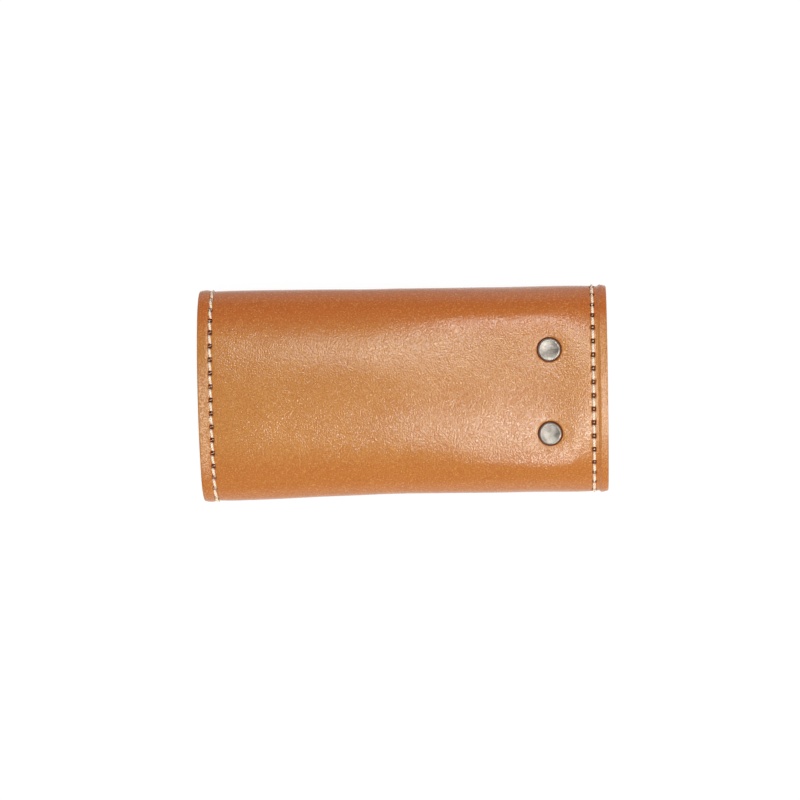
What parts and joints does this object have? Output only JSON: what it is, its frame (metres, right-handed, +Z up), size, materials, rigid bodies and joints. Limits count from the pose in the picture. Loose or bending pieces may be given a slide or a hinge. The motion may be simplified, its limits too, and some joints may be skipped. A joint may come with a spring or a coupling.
{
  "type": "key case",
  "caption": "Leather key case that folds round its keys: riveted back, sprung hooks on a rod inside, stitched ends and two snapped flaps.",
  "frame": {"origin": "middle of the closed case's footprint, on the surface that it lies on", "axes": "+X along the folds towards the riveted end, +Y across the folds towards the inner flap's fold, +Z up through the back"},
  "size_m": [0.108, 0.0547, 0.0191],
  "materials": {
    "tan_leather": "smooth, semi-gloss",
    "lining_leather": "matte",
    "nickel": "antique, worn satin",
    "thread": "waxed, twisted"
  },
  "bodies": {
    "back": {"back_leather": "tan_leather", "back_lining": "lining_leather", "back_stitches": "thread", "rivet_caps": "nickel", "rivet_backs": "nickel", "key_plate": "nickel", "hook_rod": "nickel"},
    "lower_fold_a": {"lower_fold_a_leather": "tan_leather", "lower_fold_a_lining": "lining_leather", "lower_fold_a_stitches": "thread"},
    "lower_fold_b": {"lower_fold_b_leather": "tan_leather", "lower_fold_b_lining": "lining_leather", "lower_fold_b_stitches": "thread"},
    "outer_flap": {"outer_flap_leather": "tan_leather", "outer_flap_lining": "lining_leather", "outer_flap_stitches": "thread", "snap_caps": "nickel", "snap_sockets": "nickel"},
    "upper_fold_a": {"upper_fold_a_leather": "tan_leather", "upper_fold_a_lining": "lining_leather", "upper_fold_a_stitches": "thread"},
    "upper_fold_b": {"upper_fold_b_leather": "tan_leather", "upper_fold_b_lining": "lining_leather", "upper_fold_b_stitches": "thread"},
    "inner_flap": {"inner_flap_leather": "tan_leather", "inner_flap_lining": "lining_leather", "inner_flap_stitches": "thread", "snap_studs": "nickel", "snap_posts": "nickel"},
    "hook_1": {"hook_1": "nickel", "gate_pin_1": "nickel"},
    "gate_1": {"gate_1": "nickel"},
    "hook_2": {"hook_2": "nickel", "gate_pin_2": "nickel"},
    "gate_2": {"gate_2": "nickel"},
    "hook_3": {"hook_3": "nickel", "gate_pin_3": "nickel"},
    "gate_3": {"gate_3": "nickel"},
    "hook_4": {"hook_4": "nickel", "gate_pin_4": "nickel"},
    "gate_4": {"gate_4": "nickel"}
  },
  "joints": [
    {"name": "lower_fold_a_bend", "type": "hinge", "parent": "back", "child": "lower_fold_a", "pos_m": [0, -0.0227, 0.01698], "axis": [-1, 0, 0], "range_deg": [0, 60]},
    {"name": "lower_fold_b_bend", "type": "hinge", "parent": "lower_fold_a", "child": "lower_fold_b", "pos_m": [0, -0.02725, 0.0091], "axis": [-1, 0, 0], "range_deg": [0, 60]},
    {"name": "outer_flap_bend", "type": "hinge", "parent": "lower_fold_b", "child": "outer_flap", "pos_m": [0, -0.0227, 0.00122], "axis": [-1, 0, 0], "range_deg": [0, 60]},
    {"name": "upper_fold_a_bend", "type": "hinge", "parent": "back", "child": "upper_fold_a", "pos_m": [0, 0.0227, 0.01698], "axis": [1, 0, 0], "range_deg": [0, 60]},
    {"name": "upper_fold_b_bend", "type": "hinge", "parent": "upper_fold_a", "child": "upper_fold_b", "pos_m": [0, 0.02725, 0.0091], "axis": [1, 0, 0], "range_deg": [0, 60]},
    {"name": "inner_flap_bend", "type": "hinge", "parent": "upper_fold_b", "child": "inner_flap", "pos_m": [0, 0.0253, 0.00572], "axis": [1, 0, 0], "range_deg": [0, 60]},
    {"name": "hook_1_swing", "type": "hinge", "parent": "back", "child": "hook_1", "pos_m": [0.0315, -0.0135, 0.0142], "axis": [0, 1, 0], "range_deg": [0, 20]},
    {"name": "hook_2_swing", "type": "hinge", "parent": "back", "child": "hook_2", "pos_m": [0.0315, -0.0045, 0.0142], "axis": [0, 1, 0], "range_deg": [0, 20]},
    {"name": "hook_3_swing", "type": "hinge", "parent": "back", "child": "hook_3", "pos_m": [0.0315, 0.0045, 0.0142], "axis": [0, 1, 0], "range_deg": [0, 11]},
    {"name": "hook_4_swing", "type": "hinge", "parent": "back", "child": "hook_4", "pos_m": [0.0315, 0.0135, 0.0142], "axis": [0, 1, 0], "range_deg": [0, 11]},
    {"name": "gate_1_push", "type": "hinge", "parent": "hook_1", "child": "gate_1", "pos_m": [0.02302, -0.01055, 0.01118], "axis": [-0.3357, 0, 0.942], "range_deg": [0, 12], "stiffness_Nm_per_rad": 0.003, "springref_deg": -8.59},
    {"name": "gate_2_push", "type": "hinge", "parent": "hook_2", "child": "gate_2", "pos_m": [0.02302, -0.00155, 0.01118], "axis": [-0.3357, 0, 0.942], "range_deg": [0, 12], "stiffness_Nm_per_rad": 0.003, "springref_deg": -8.59},
    {"name": "gate_3_push", "type": "hinge", "parent": "hook_3", "child": "gate_3", "pos_m": [0.02266, 0.00745, 0.01253], "axis": [-0.1857, 0, 0.9826], "range_deg": [0, 12], "stiffness_Nm_per_rad": 0.003, "springref_deg": -8.59},
    {"name": "gate_4_push", "type": "hinge", "parent": "hook_4", "child": "gate_4", "pos_m": [0.02266, 0.01645, 0.01253], "axis": [-0.1857, 0, 0.9826], "range_deg": [0, 12], "stiffness_Nm_per_rad": 0.003, "springref_deg": -8.59}
  ],
  "couplings": [
    {"joint": "lower_fold_b_bend", "follows": "lower_fold_a_bend", "ratio": 1},
    {"joint": "outer_flap_bend", "follows": "lower_fold_a_bend", "ratio": 1},
    {"joint": "upper_fold_a_bend", "follows": "lower_fold_a_bend", "ratio": 1},
    {"joint": "upper_fold_b_bend", "follows": "lower_fold_a_bend", "ratio": 1},
    {"joint": "inner_flap_bend", "follows": "lower_fold_a_bend", "ratio": 1}
  ]
}
